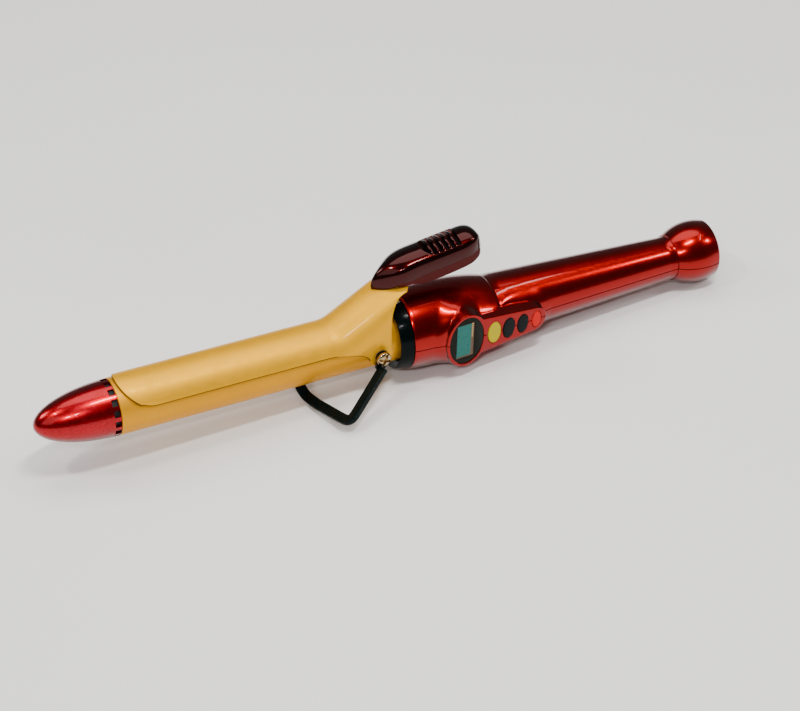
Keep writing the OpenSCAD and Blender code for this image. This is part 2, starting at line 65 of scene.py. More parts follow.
BARREL_R = 12.7
BARREL_WALL = 0.8
BARREL_END = 187
TIP_LEN = 35.4
PIVOT = (156.5, -0.5)  # x and z of the screws that the clamp and the rest turn on
PIVOT_BORE = 2.28
SHELL_X = 171.3
SHOULDER_X = 215.2
BELL_X = 311.7
END_X = 333.0
HEAD_R, HEAD_MID, HEAD_HALF = 18.9, 186.0, 50.0
HANDLE_R0, HANDLE_R1 = 15.0, 10.2
BELL_R, BELL_MID, BELL_ARC = 14.6, 325.5, 24.0
SEAM = 0.2  # half the gap between the two shells


def head_r(x):
    return HEAD_R * sqrt(1 - ((x - HEAD_MID) / HEAD_HALF) ** 2)


def handle_r(x):
    return HANDLE_R0 - (HANDLE_R0 - HANDLE_R1) * (x - SHOULDER_X) / (BELL_X - SHOULDER_X)


def bell_r(x):
    return BELL_R - BELL_ARC + sqrt(BELL_ARC ** 2 - (x - BELL_MID) ** 2)


# ---------------------------------------------------------------- mesh helpers
def mesh_object(name, verts, faces):
    mesh = bpy.data.meshes.new(name)
    mesh.from_pydata([tuple(v) for v in verts], [], faces)
    mesh.update()
    bm = bmesh.new()
    bm.from_mesh(mesh)
    bmesh.ops.remove_doubles(bm, verts=bm.verts, dist=1e-4)
    bmesh.ops.dissolve_degenerate(bm, dist=1e-5, edges=bm.edges)
    bmesh.ops.recalc_face_normals(bm, faces=bm.faces)
    bm.to_mesh(mesh)
    bm.free()
    obj = bpy.data.objects.new(name, mesh)
    bpy.context.scene.collection.objects.link(obj)
    return obj


def evaluated(obj):
    """Applies obj's modifiers to its mesh."""
    dg = bpy.context.evaluated_depsgraph_get()
    mesh = bpy.data.meshes.new_from_object(obj.evaluated_get(dg))
    obj.modifiers.clear()
    old = obj.data
    obj.data = mesh
    bpy.data.meshes.remove(old)
    return obj


def boolean(obj, others, operation="DIFFERENCE"):
    """Cuts obj with the others, or joins or intersects them, and deletes them."""
    for other in others:
        m = obj.modifiers.new("cut", "BOOLEAN")
        m.operation = operation
        m.solver = "EXACT"
        m.object = other
        evaluated(obj)
        bpy.data.objects.remove(other)
    return obj


def join(name, objs):
    """Puts several meshes into one object."""
    bm = bmesh.new()
    for o in objs:
        bm.from_mesh(o.data)
    mesh = bpy.data.meshes.new(name)
    bm.to_mesh(mesh)
    bm.free()
    for o in objs:
        bpy.data.objects.remove(o)
    obj = bpy.data.objects.new(name, mesh)
    bpy.context.scene.collection.objects.link(obj)
    return obj


def bevel(obj, width):
    """Rounds the edges that turn by more than 50 degrees."""
    m = obj.modifiers.new("bevel", "BEVEL")
    m.width = width
    m.segments = 2
    m.limit_method = "ANGLE"
    m.angle_limit = radians(50)
    m.harden_normals = False
    return evaluated(obj)


def make(obj, material, body, nodes=(), sharp=35):
    """Puts a piece into the row frame, shades it, and ties it to its body."""
    mesh = obj.data
    mesh.transform(TO_ROW)
    for p in mesh.polygons:
        p.use_smooth = True
    mesh.set_sharp_from_angle(angle=radians(sharp))
    mesh.materials.clear()
    mesh.materials.append(material)
    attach(obj, body)
    if nodes:
        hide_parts(*nodes)
    return obj


def on_axis(x, r, a):
    """Point at station x, radius r and angle a from straight up, positive towards +y."""
    return (x, r * sin(a), r * cos(a))


def revolved(name, profile, n):
    """Turns a closed loop of (x, r) points around the axis, in n steps."""
    verts, faces = [], []
    m = len(profile)
    for i in range(n):
        a = 2 * pi * i / n
        verts += [on_axis(x, r, a) for x, r in profile]
    for i in range(n):
        j = (i + 1) % n
        for k in range(m):
            l = (k + 1) % m
            faces.append((i * m + k, i * m + l, j * m + l, j * m + k))
    return mesh_object(name, verts, faces)


def lofted(name, rings):
    """Skins a list of equal closed rings of points and caps both ends."""
    n = len(rings[0])
    verts = [p for ring in rings for p in ring]
    faces = []
    for i in range(len(rings) - 1):
        a, b = i * n, (i + 1) * n
        for k in range(n):
            l = (k + 1) % n
            faces.append((a + k, a + l, b + l, b + k))
    faces.append(tuple(range(n))[::-1])
    faces.append(tuple(range(len(verts) - n, len(verts))))
    return mesh_object(name, verts, faces)


def arc(cx, cy, r, a0, a1, n):
    """Points on an arc from angle a0 to a1, in degrees."""
    turns = [radians(a0 + (a1 - a0) * i / n) for i in range(n + 1)]
    return [(cx + r * cos(a), cy + r * sin(a)) for a in turns]


def smoothstep(a, b, t):
    t = min(1, max(0, (t - a) / (b - a)))
    return t * t * (3 - 2 * t)


def mix(a, b, t):
    return a + (b - a) * t


# ---------------------------------------------------------------- materials
class Nodes:
    """A small helper around one material's node tree."""

    def __init__(self, name):
        self.mat = bpy.data.materials.new(name)
        self.mat.use_nodes = True
        self.tree = self.mat.node_tree
        self.shader = self.tree.nodes["Principled BSDF"]
        self.coord = self.tree.nodes.new("ShaderNodeTexCoord")

    def node(self, kind, **inputs):
        n = self.tree.nodes.new("ShaderNode" + kind)
        for key, value in inputs.items():
            self.put(n, key, value)
        return n

    def put(self, n, key, value):
        """Links or sets one input, given by its number or by its name with _ for spaces."""
        socket = n.inputs[key if isinstance(key, int) else key.replace("_", " ")]
        if isinstance(value, bpy.types.NodeSocket):
            self.tree.links.new(value, socket)
        else:
            socket.default_value = value

    def set(self, **values):
        for key, value in values.items():
            self.put(self.shader, key, value)

    def noise(self, scale, detail=3.0, rough=0.55):
        place = self.coord.outputs["Object"]
        return self.node("TexNoise", Vector=place, Scale=scale, Detail=detail, Roughness=rough).outputs[0]

    def cells(self, scale):
        place = self.coord.outputs["Object"]
        return self.node("TexVoronoi", Vector=place, Scale=scale).outputs["Color"]

    def ramp(self, value, stops):
        n = self.node("ValToRGB", Fac=value)
        els = n.color_ramp.elements
        while len(els) < len(stops):
            els.new(0.5)
        for e, (pos, col) in zip(els, stops):
            e.position = pos
            e.color = (*col, 1)
        return n.outputs[0]

    def range(self, value, lo, hi, to_lo, to_hi):
        n = self.node("MapRange")
        for i, v in enumerate((value, lo, hi, to_lo, to_hi)):
            self.put(n, i, v)
        return n.outputs[0]

    def mixed(self, fac, a, b):
        """Colour between a and b, each a colour or an output."""
        n = self.tree.nodes.new("ShaderNodeMix")
        n.data_type = "RGBA"
        for i, v in ((0, fac), (6, a), (7, b)):
            self.put(n, i, (*v, 1) if isinstance(v, tuple) else v)
        return n.outputs[2]

    def bump(self, height, strength, distance):
        n = self.node("Bump", Height=height, Strength=strength, Distance=distance)
        return n.outputs[0]

    def facing(self, blend):
        return self.node("LayerWeight", Blend=blend).outputs["Facing"]


GRAIN_DEPTH = 0.00003  # metres of relief that the fine bumps stand for


def red_lacquer(name, deep, bright, flake=2400, sparkle=0.06, rough=0.24, coat_ior=1.26):
    """Candy red: metal flakes under a clear coat, darker towards the edges."""
    m = Nodes(name)
    between = tuple(0.5 * (a + b) for a, b in zip(deep, bright))
    at_edge = tuple(0.18 * c for c in deep)
    tone = m.mixed(m.range(m.cells(flake), 0.3, 1.0, 0.0, sparkle), deep, bright)
    tone = m.mixed(m.range(m.noise(60, 2), 0.35, 0.7, 0.0, 0.25), tone, between)
    tone = m.mixed(m.range(m.facing(0.35), 0.25, 0.95, 0.0, 0.85), tone, at_edge)
    m.set(Base_Color=tone, Metallic=1.0,
          Roughness=m.range(m.noise(180, 2), 0.3, 0.7, rough - 0.02, rough + 0.03),
          Coat_Weight=1.0, Coat_Roughness=0.045, Coat_IOR=coat_ior,
          Coat_Normal=m.bump(m.noise(260, 2), 0.04, 2 * GRAIN_DEPTH))
    return m.mat


def gold_coating(name, base):
    """Satin gold ceramic coating with a faint cloud and a fine grain."""
    m = Nodes(name)
    fine = m.noise(1100, 2)
    tone = m.ramp(m.noise(45, 3), [(0.3, tuple(c * 0.93 for c in base)), (0.7, base)])
    tone = m.mixed(m.range(fine, 0.35, 0.65, 0.0, 0.12), tone, tuple(min(1, c * 1.2) for c in base))
    m.set(Base_Color=tone, Metallic=0.55, Roughness=m.range(m.noise(300, 3), 0.3, 0.7, 0.43, 0.54),
          IOR=1.12, Normal=m.bump(fine, 0.06, GRAIN_DEPTH),
          Coat_Weight=0.35, Coat_Roughness=0.06, Coat_IOR=1.22)
    return m.mat


def plastic(name, base, rough, grain=1800, bump=0.15, vary=0.25, ior=1.45):
    """Plain moulded or enamelled surface: a grain, and patches of a paler tone."""
    m = Nodes(name)
    spots = m.noise(grain, 3)
    paler = tuple(min(1, c * 1.5 + 0.006) for c in base)
    m.set(Base_Color=m.mixed(m.range(m.noise(90, 3), 0.3, 0.75, 0.0, vary), base, paler),
          Roughness=m.range(spots, 0.3, 0.7, rough - 0.06, rough + 0.08),
          IOR=ior, Normal=m.bump(spots, bump, GRAIN_DEPTH))
    return m.mat


def metal(name, base, rough):
    """Bare metal with a fine grain and darker patches."""
    m = Nodes(name)
    grain = m.noise(1500, 3, 0.6)
    darker = tuple(c * 0.6 for c in base)
    m.set(Base_Color=m.mixed(m.range(m.noise(260, 3), 0.4, 0.8, 0.0, 0.35), base, darker), Metallic=1.0,
          Roughness=m.range(grain, 0.3, 0.7, rough - 0.08, rough + 0.1),
          Normal=m.bump(grain, 0.2, GRAIN_DEPTH))
    return m.mat


RED = red_lacquer("candy_red", (0.27, 0.0003, 0.0001), (0.44, 0.0015, 0.0004))
TIP_RED = red_lacquer("tip_red", (0.30, 0.0004, 0.003), (0.75, 0.012, 0.05),
                      flake=1500, sparkle=0.22, rough=0.28)
MAROON = red_lacquer("lever_maroon", (0.030, 0.0003, 0.0001), (0.09, 0.0012, 0.0003),
                     rough=0.2, coat_ior=1.27)
BASE_MAROON = plastic("lever_base_maroon", (0.062, 0.0018, 0.0010), 0.5, ior=1.25)
GOLD = gold_coating("gold_ceramic", (0.84, 0.41, 0.002))
# The barrel's gold is a darker copy of the clamp's gold. It is painted shade, so the barrel below the jaw's
# edge reads darker than the jaw.
SHADED_BARREL_GOLD = gold_coating("barrel_gold_painted_shade", (0.70, 0.31, 0.003))
# Dark brown for the bead along the clamp's cut edge: painted shadow under the jaw's edge.
CUT_EDGE_SHADOW = gold_coating("cut_edge_painted_shadow", (0.13, 0.055, 0.006))
BLACK = plastic("collar_black", (0.0004, 0.0022, 0.0024), 0.15, ior=1.15)
ENAMEL = plastic("rest_enamel", (0.0003, 0.0036, 0.0036), 0.2, 1500, 0.06, ior=1.18)
DARK = plastic("dark_inside", (0.004, 0.004, 0.004), 0.6)
WINDOW = plastic("window_black", (0.004, 0.005, 0.002), 0.25, ior=1.2)
LCD = plastic("lcd_teal", (0.008, 0.130, 0.112), 0.3, 700, 0.02, vary=0.1, ior=1.3)
BRONZE = plastic("lcd_bronze", (0.10, 0.045, 0.02), 0.4)
YELLOW = plastic("button_yellow", (0.48, 0.39, 0.0005), 0.5, ior=1.25)
BUTTON_BLACK = plastic("button_black", (0.0012, 0.004, 0.004), 0.4, ior=1.2)
BUTTON_RED = plastic("button_red", (0.62, 0.003, 0.0005), 0.45, ior=1.25)
SCREW = metal("screw_nickel", (0.46, 0.34, 0.18), 0.16)
STEEL = metal("plain_steel", (0.6, 0.6, 0.58), 0.35)
BRASS = metal("plain_brass", (0.72, 0.5, 0.2), 0.3)
RUBBER = plastic("gland_rubber", (0.012, 0.012, 0.012), 0.6, 1200, 0.3)
CERAMIC = plastic("white_ceramic", (0.75, 0.72, 0.66), 0.5)
BOARD = plastic("board_green", (0.02, 0.11, 0.05), 0.4)

CAD_LOOK = {
    TIP_RED: ["barrel_tip"],
    SHADED_BARREL_GOLD: ["barrel_tube"],
    GOLD: ["clamp_plate"],
    RED: ["upper_shell", "lower_shell"],
    MAROON: ["lever_cover"],
    BASE_MAROON: ["lever_base"],
    BLACK: ["collar_ring"],
    ENAMEL: ["rest_strip"],
    SCREW: ["hinge_screws"],
    WINDOW: ["display_window"],
    LCD: ["lcd_glass"],
    BRONZE: ["lcd_frame"],
    YELLOW: ["button_power"],
    BUTTON_BLACK: ["button_up", "button_down"],
    BUTTON_RED: ["button_mode"],
    RUBBER: ["swivel_gland"],
    DARK: ["vent_liner", "display_mask", "board_parts"],
    STEEL: ["heater_shell_upper", "heater_shell_lower", "thermal_fuse", "shell_screws", "tact_switches",
            "lever_screws", "clamp_spring", "rest_washers"],
    BRASS: ["temperature_sensor", "hinge_bushes", "contact_fingers", "slip_rings"],
    CERAMIC: ["heater_element", "heater_leads", "barrel_flange", "supply_leads"],
    BOARD: ["circuit_board"],
}
for look, node_names in CAD_LOOK.items():
    for node_name in node_names:
        data = frame["nodes"][node_name].data
        data.materials.clear()
        data.materials.append(look)


# ---------------------------------------------------------------- barrel
def box_mesh(name, x0, x1, y0, y1, z0, z1):
    """Box between the given limits."""
    v = [(x, y, z) for x in (x0, x1) for y in (y0, y1) for z in (z0, z1)]
    f = [(0, 1, 3, 2), (4, 6, 7, 5), (0, 4, 5, 1), (2, 3, 7, 6), (0, 2, 6, 4), (1, 5, 7, 3)]
    return mesh_object(name, v, f)


def prism(name, outline, low, high, to_point):
    """Extrudes a closed outline of (a, b) between two levels; to_point(a, b, c) places it."""
    return lofted(name, [[to_point(a, b, c) for a, b in outline] for c in (low, high)])


def side_view(a, b, c):
    return (a, c, b)


def plan_view(a, b, c):
    return (a, b, c)


TURN_STEPS = 192  # facets round the large turned parts
VENTS = 16
VENT_W, VENT_FLOOR_R = 3.0, 11.0
TIP_SOCKET_R = 10.3


def round_barrel(name, x0, x1, width, low, high):
    """A row of equal boxes round the barrel, one to each vent."""
    boxes = []
    for i in range(VENTS):
        box = box_mesh(name, x0, x1, -width / 2, width / 2, low, high)
        box.data.transform(Matrix.Rotation(radians(i * 360 / VENTS), 4, "X"))
        boxes.append(box)
    return join(name, boxes)


nose = [(TIP_LEN * (1 - cos(pi / 2 * t / 40)), BARREL_R * sin(pi / 2 * t / 40)) for t in range(40)]
tip_end = [(TIP_LEN - 0.25, BARREL_R), (TIP_LEN - 0.05, BARREL_R - 0.2), (TIP_LEN - 0.05, TIP_SOCKET_R),
           (TIP_LEN - 5, TIP_SOCKET_R), (TIP_LEN - 5, 0)]
tip = revolved("cool_tip", nose + tip_end, TURN_STEPS)
boolean(tip, [round_barrel("vents", TIP_LEN - 3.1, TIP_LEN - 0.35, VENT_W, VENT_FLOOR_R, 15)])
make(tip, TIP_RED, "iron_body", ["barrel_tip"])
floors = round_barrel("vent_floors", TIP_LEN - 3.3, TIP_LEN - 0.2, VENT_W + 0.4, 10.6, VENT_FLOOR_R + 0.15)
make(floors, DARK, "iron_body")

wall = [(TIP_LEN, BARREL_R - 0.15), (TIP_LEN + 0.15, BARREL_R), (BARREL_END, BARREL_R),
        (BARREL_END, BARREL_R - BARREL_WALL), (TIP_LEN, BARREL_R - BARREL_WALL)]
# The tube takes the darker gold: painted shade under the clamp's edge.
make(revolved("heated_barrel", wall, TURN_STEPS), SHADED_BARREL_GOLD, "iron_body", ["barrel_tube"])

# ---------------------------------------------------------------- clamp
SHEET = 0.7
CLAMP_R = 13.65
CLAMP_IN_R = CLAMP_R - SHEET
FLARE_X, FLARE_RISE = 136.7, radians(31)
MITRE_X = FLARE_X + CLAMP_R * tan(FLARE_RISE / 2)
BEND_R = 22.0
EDGE_Z = 4.9  # height of the jaw's long edges
FRONT_X = 37.05
LEVER_AT = (157.0, 26.6)  # x and z of the lever's front end, at the height of its underside
LEVER_PITCH = radians(8.5)
EAR_R = 5.6
ROOF_GAP = 0.12  # from the sheet's flat roof up to the lever


def roof_z(x, below=ROOF_GAP):
    """Height of the flare's flat roof, which the lever lies on."""
    return LEVER_AT[1] + (x - LEVER_AT[0]) * tan(LEVER_PITCH) - below


def spine(s):
    """Centre of the clamp's round back and its lean, at distance s along it; s = 0 is the bend's middle."""
    reach = BEND_R * tan(FLARE_RISE / 2)
    half = BEND_R * FLARE_RISE / 2
    if s < -half:
        return (MITRE_X - reach + (s + half), 0.0, 0.0)
    if s > half:
        k = reach + (s - half)
        return (MITRE_X + k * cos(FLARE_RISE), k * sin(FLARE_RISE), FLARE_RISE)
    a = (s + half) / BEND_R
    return (MITRE_X - reach + BEND_R * sin(a), BEND_R * (1 - cos(a)), a)


def trough(name, r, s0, s1):
    """Closed solid with a round back of radius r over flat sides, swept along the spine."""
    in_bend = [-6 + 12 * i / 28 for i in range(29)]
    stations = sorted({s0, s1, *in_bend, *[s0 + (s1 - s0) * i / 12 for i in range(13)]})
    rings = []
    for s in stations:
        cx, cz, lean = spine(s)
        ring = [(-r, -34.0 if cx > MITRE_X else -20.0)]
        ring += [(r * sin(radians(a)), r * cos(radians(a))) for a in [-90 + 1.875 * i for i in range(97)]]
        ring += [(r, ring[0][1])]
        rings.append([(cx - n * sin(lean), y, cz + n * cos(lean)) for y, n in ring])
    return lofted(name, rings)


def across_bore(r, y0, y1, steps):
    """Round cutter of radius r about the pivot's axis, between y0 and y1."""
    circle = arc(*PIVOT, r, 0, 360 - 360 / (steps + 1), steps)
    return lofted("bore", [[(x, y, z) for x, z in circle] for y in (y0, y1)])


# Outline from the side: the jaw's long edge, its sweep down to the ear, and up the rear to the roof
SWEEP_X, SWEEP_LEN, SWEEP_LOW = 130, 21.2, -2
REAR_X, REAR_Z = 172.6, 13
sweep = [(SWEEP_X + SWEEP_LEN * sin(pi / 2 * t / 16),
          SWEEP_LOW + (EDGE_Z - SWEEP_LOW) * cos(pi / 2 * t / 16)) for t in range(17)]
ear = [p for p in arc(*PIVOT, EAR_R, 196, 370, 40) if p[0] > SWEEP_X + SWEEP_LEN + 0.1 or p[1] < -3]
rear = [(REAR_X - 11.4 * cos(radians(a)), REAR_Z + 15.5 * sin(radians(a))) for a in range(0, 90, 5)]
corner = [(52 - 1.2 * i, EDGE_Z + 0.045 * i * i) for i in range(11)]
side_outline = [(20, 12.4), (36, 12.4)] + corner[::-1] + sweep + ear + [(161.6, 1.5)] + rear
side_outline += [(REAR_X, roof_z(REAR_X)), (158.6, roof_z(158.6)), (150, 40), (20, 40)]

# Outline from above: a blunt rounded front, and rear corners trimmed round the head
FRONT_LEN, BLUNT = 12.6, 2 / 2.3
front_base = FRONT_X + FRONT_LEN
front = [(front_base - FRONT_LEN * max(0, cos(radians(a))) ** BLUNT,
          FRONT_LEN * (1 if a > 0 else -1) * abs(sin(radians(a))) ** BLUNT) for a in range(-90, 91, 3)]
half_rear = [(168.2, 14.5), (168.6, 12), (170.5, 9.5), (172.8, 6)]
plan = [(front_base, -14.5), (front_base, -FRONT_LEN)] + front[1:-1]
plan += [(front_base, FRONT_LEN), (front_base, 14.5)]
plan += half_rear + [(173, 0)] + [(x, -y) for x, y in reversed(half_rear)]

clamp = trough("clamp_plate_sheet", CLAMP_R, -110, 45)
boolean(clamp, [prism("profile", side_outline, -30, 30, side_view)], "INTERSECT")
boolean(clamp, [prism("plan", plan, -30, 60, plan_view)], "INTERSECT")
hollow = trough("hollow", CLAMP_IN_R, -130, 60)
under = ROOF_GAP + SHEET
low_roof = [(10, -70), (240, -70), (240, roof_z(240, under)), (158, roof_z(158, under)), (150, 40), (10, 40)]
boolean(hollow, [prism("under_roof", low_roof, -40, 40, side_view)], "INTERSECT")
boolean(clamp, [hollow, across_bore(PIVOT_BORE, -20, -5, 119), across_bore(PIVOT_BORE, 5, 20, 119)])
bevel(clamp, 0.28)
make(clamp, GOLD, "clamp", ["clamp_plate"], 40)

# A dark brown bead along the sheet's cut edge, from one ear along the jaw, round its front and back to the
# other ear. It is painted shadow: the dark line under the jaw's edge.
CUT_R = 13.36
BEAD_R = 0.33


def bead(name, path, r, n=8):
    """Closed round bead of radius r along a path."""
    rings = []
    for i, p in enumerate(path):
        along = (Vector(path[min(i + 1, len(path) - 1)]) - Vector(path[max(i - 1, 0)])).normalized()
        side = along.cross(Vector((0.1, 0.2, 1))).normalized()
        other = along.cross(side)
        turns = [2 * pi * k / n for k in range(n)]
        rings.append([tuple(Vector(p) + r * (cos(a) * side + sin(a) * other)) for a in turns])
    return lofted(name, rings)


def on_sheet(x, z):
    """Point within the thickness of the sheet's near side, at station x and height z."""
    lean = z if x < MITRE_X else (z - (x - MITRE_X) * tan(FLARE_RISE)) * cos(FLARE_RISE)
    return (x, -sqrt(CUT_R ** 2 - max(0.0, lean) ** 2), z)


near = [on_sheet(x, z) for x, z in reversed(sweep)]
near += [on_sheet(SWEEP_X - 4 * i, EDGE_Z) for i in range(1, 19)]
near += [on_sheet(x, z) for x, z in corner[:6]]
round_front = [(x, y, sqrt(CUT_R ** 2 - y * y)) for x, y in front]
round_front = [point for point in round_front if point[2] > near[-1][2] + 0.3]
far = [(x, -y, z) for x, y, z in reversed(near)]
painted_edge_shadow = bead("clamp_cut_edge_shadow", near + round_front + far, BEAD_R)
make(painted_edge_shadow, CUT_EDGE_SHADOW, "clamp", sharp=60)

# ---------------------------------------------------------------- thumb lever
LEVER_LEN, LEVER_W, LEVER_H = 54.0, 16.4, 12.4
BOW_TIP, BOW_END, STERN = 0.3, 16.6, 13.0
RISE_END = 22.0  # where the lever's back comes to its full height
RECESS_V, RECESS_FLOOR = 6.7, 10.2
RECESS_U0, RECESS_U1, RECESS_ROUND = 26.0, 43.3, 5.2
RIBS, RIB_U0, RIB_PITCH, RIB_R, RIB_V = 5, 29.4, 2.87, 0.74, 6.9
CROWN_R, SHOULDER = 12.0, 2.4
EVEN_U0, EVEN_U1 = 24, 41  # the lever's section hardly changes between these


def lev(u, v, w):
    """Lever frame: u along the lever from its front, v across, w up from its underside."""
    return (LEVER_AT[0] + u * cos(LEVER_PITCH) - w * sin(LEVER_PITCH), v,
            LEVER_AT[1] + u * sin(LEVER_PITCH) + w * cos(LEVER_PITCH))


def lever_half(u, inset=0.0):
    """Half the lever's width at u."""
    half = LEVER_W / 2 - inset
    if u < BOW_END:
        start = BOW_TIP + 1.6 * inset
        return half * sin(pi / 2 * max(0.0, (u - start) / (BOW_END - start))) ** 0.82
    if u > LEVER_LEN - STERN:
        k = (u - LEVER_LEN + STERN) / (STERN - inset)
        return half * (max(0.0, 1 - k ** 2.6)) ** (1 / 2.6) if k < 1 else 0.0
    return half


def split(u):
    """Height of the line between the lever's base and its cover."""
    return 0.06 + 2.9 * smoothstep(3.5, 15.5, u) + 0.026 * max(0.0, u - 15)


def lever_top(u):
    """Height of the cover's back at u."""
    front_h, rear_h, rear_len = 1.0, 2.3, 8
    if u < RISE_END:
        k = max(0.0, 1 - (u - BOW_TIP) / (RISE_END - BOW_TIP))
        return front_h + (LEVER_H - front_h) * (max(0.0, 1 - k ** 2.0)) ** (1 / 2.0)
    if u > LEVER_LEN - rear_len:
        k = (u - LEVER_LEN + rear_len) / rear_len
        return rear_h + (LEVER_H - rear_h) * (0.35 + 0.65 * (max(0.0, 1 - k ** 2.4)) ** (1 / 2.4))
    return LEVER_H


def cover_section(u, n=60):
    """Half ring over the cover from its near edge: oval in the bow, then upright sides and a broad crown."""
    h, low = max(lever_half(u), 0.02), split(u)
    height = lever_top(u) - low
    full = smoothstep(3, 18, u)
    centre = height - CROWN_R
    ring = []
    for i in range(n + 1):
        a = pi * i / n
        c, s = cos(a), sin(a)
        side = h / max(abs(c), 1e-3)
        crown_reach = centre * s + sqrt(CROWN_R ** 2 - (centre * c) ** 2)
        soft = max(SHOULDER - abs(side - crown_reach), 0) / SHOULDER
        square = min(side, crown_reach) - soft * soft * SHOULDER / 4
        oval = 1 / sqrt((c / h) ** 2 + (s / height) ** 2)
        r = mix(oval, square, full)
        ring.append(lev(u, -r * c, low + r * s))
    return ring


def crown(v):
    """Height of the cover's back at v, where the lever is at its widest."""
    across = [p for p in cover_heights if p[0] >= abs(v)]
    (v1, w1) = across[-1]
    (v0, w0) = cover_heights[len(across)] if len(across) < len(cover_heights) else across[-1]
    return w1 if v1 == v0 else mix(w0, w1, (abs(v) - v0) / (v1 - v0))


def section_heights(u, n=96):
    """(half width, height) pairs of the cover's section, from its side to its middle."""
    origin = Vector(lev(u, 0, 0))
    upward = Vector((-sin(LEVER_PITCH), 0, cos(LEVER_PITCH)))
    points = [Vector(p) - origin for p in cover_section(u, n)[:n // 2 + 1]]
    return [(abs(p.y), p.dot(upward)) for p in points]


cover_heights = section_heights(36)


def hull_w(u):
    """Underside of the lever's base."""
    line = [(0, 0.02), (16.8, 0.02), (19.5, -0.9), (22, -1.9), (24.5, -2.3), (30, -2.38), (36, -2.3),
            (42, -2.0), (47, -1.6), (50.5, -0.9), (54, 0.3)]
    for (u0, w0), (u1, w1) in zip(line, line[1:]):
        if u <= u1:
            k = (u - u0) / (u1 - u0)
            return mix(w0, w1, 0.3 * smoothstep(0, 1, k) + 0.7 * k)
    return line[-1][1]


stations = [BOW_TIP + 0.04 + (EVEN_U0 - BOW_TIP) * (1 - cos(pi / 2 * i / 30)) for i in range(30)]
stations += [EVEN_U0 + (EVEN_U1 - EVEN_U0) * i / 12 for i in range(12)]
stations += [EVEN_U1 + 12.97 * sin(pi / 2 * i / 26) for i in range(27)]
cover = lofted("lever_cover_shell", [cover_section(u) for u in stations])
corner_u, corner_v = RECESS_U0 + RECESS_ROUND, RECESS_V - RECESS_ROUND
recess = arc(corner_u, -corner_v, RECESS_ROUND, 270, 180, 16)
recess += arc(corner_u, corner_v, RECESS_ROUND, 180, 90, 16)
recess += [(RECESS_U1, RECESS_V), (RECESS_U1, -RECESS_V)]
boolean(cover, [prism("recess", recess, RECESS_FLOOR, LEVER_H + 5, lev)])
bevel(cover, 0.22)


def rib(u):
    """Round-topped grip rib across the lever, following the crown."""
    foot = RECESS_FLOOR - 1.2
    rings = []
    for k in range(29):
        v = RIB_V * (k - 14) / 14
        middle = crown(v) - 0.08 - RIB_R
        ring = [lev(u + a, v, middle + b) for a, b in arc(0, 0, RIB_R, 0, 180, 9)]
        rings.append(ring + [lev(u - RIB_R, v, foot), lev(u + RIB_R, v, foot)])
    return lofted("rib", rings)


cover = join("lever_cover_shell", [cover] + [rib(RIB_U0 + i * RIB_PITCH) for i in range(RIBS)])
make(cover, MAROON, "clamp", ["lever_cover"], 40)


def base_section(u):
    """Ring round the lever's base, with rounded lower corners."""
    h, top, low = max(lever_half(u, 0.3), 0.3), split(u) - 0.12, hull_w(u)
    r = min(0.9, 0.45 * (top - low), 0.8 * h)
    points = arc(h - r, low + r, r, 0, -90, 6) + arc(-h + r, low + r, r, -90, -180, 6)
    return [lev(u, v, w) for v, w in [(h, top)] + points + [(-h, top)]]


base_stations = [11 + 0.75 * i for i in range(40)]
base_stations += [EVEN_U1 + 12.55 * sin(pi / 2 * i / 26) for i in range(27)]
base = lofted("lever_base_plate", [base_section(u) for u in base_stations])
make(base, BASE_MAROON, "clamp", ["lever_base"], 40)

# ---------------------------------------------------------------- collar
collar_profile = [(167.4, 12.8), (165.35, 15.7), (165.2, 15.95), (165.35, 16.25), (165.7, 16.45),
                  (170.5, 17.6), (171.0, 17.72), (171.15, 17.6), (171.2, 15.9), (173.2, 15.9), (173.2, 12.8)]
collar = revolved("collar", collar_profile, TURN_STEPS)
make(collar, BLACK, "iron_body", ["collar_ring"], 50)

# ---------------------------------------------------------------- handle shells
PANEL_X, PANEL_Y, PANEL_SLOPE = 196.0, 20.1, radians(3.4)
WINDOW_A, WINDOW_B, RIM = 8.7, 12.4, 1.6
BAR_FRONT, BAR_REAR = (3.0, 9.9), (35.2, 6.4)
# name, place along the panel, width, height, look and slot
BUTTONS = [("power", 14.2, 6.5, 11.1, YELLOW, "yellow_button"),
           ("up", 21.75, 6.0, 10.6, BUTTON_BLACK, "black_button"),
           ("down", 29.1, 5.4, 9.8, BUTTON_BLACK, "black_button"),
           ("mode", 36.35, 4.5, 8.4, BUTTON_RED, "red_button")]
PANEL_MID = 8  # place along the panel from which every ray meets the outline once


def pan(u, v, w):
    """Panel frame: u along the iron, v up, w outwards."""
    c, s = cos(PANEL_SLOPE), sin(PANEL_SLOPE)
    return (PANEL_X + u * c + w * s, -PANEL_Y + u * s - w * c, v)


def body_r(x):
    """Radius of the plain turned body."""
    if x < SHOULDER_X - 0.9:
        return head_r(x)
    if x < SHOULDER_X:
        return mix(head_r(SHOULDER_X - 0.9), HANDLE_R0 + 0.15, (x - SHOULDER_X + 0.9) / 0.9)
    return handle_r(x)


def body_w(u, v):
    """Depth of the plain body of revolution below the panel's plane."""
    w = -2.0
    for _ in range(3):
        x = PANEL_X + u * cos(PANEL_SLOPE) + w * sin(PANEL_SLOPE)
        r = body_r(x)
        w = (-PANEL_Y + u * sin(PANEL_SLOPE) + sqrt(max(r * r - v * v, 0.01))) / cos(PANEL_SLOPE)
    return w


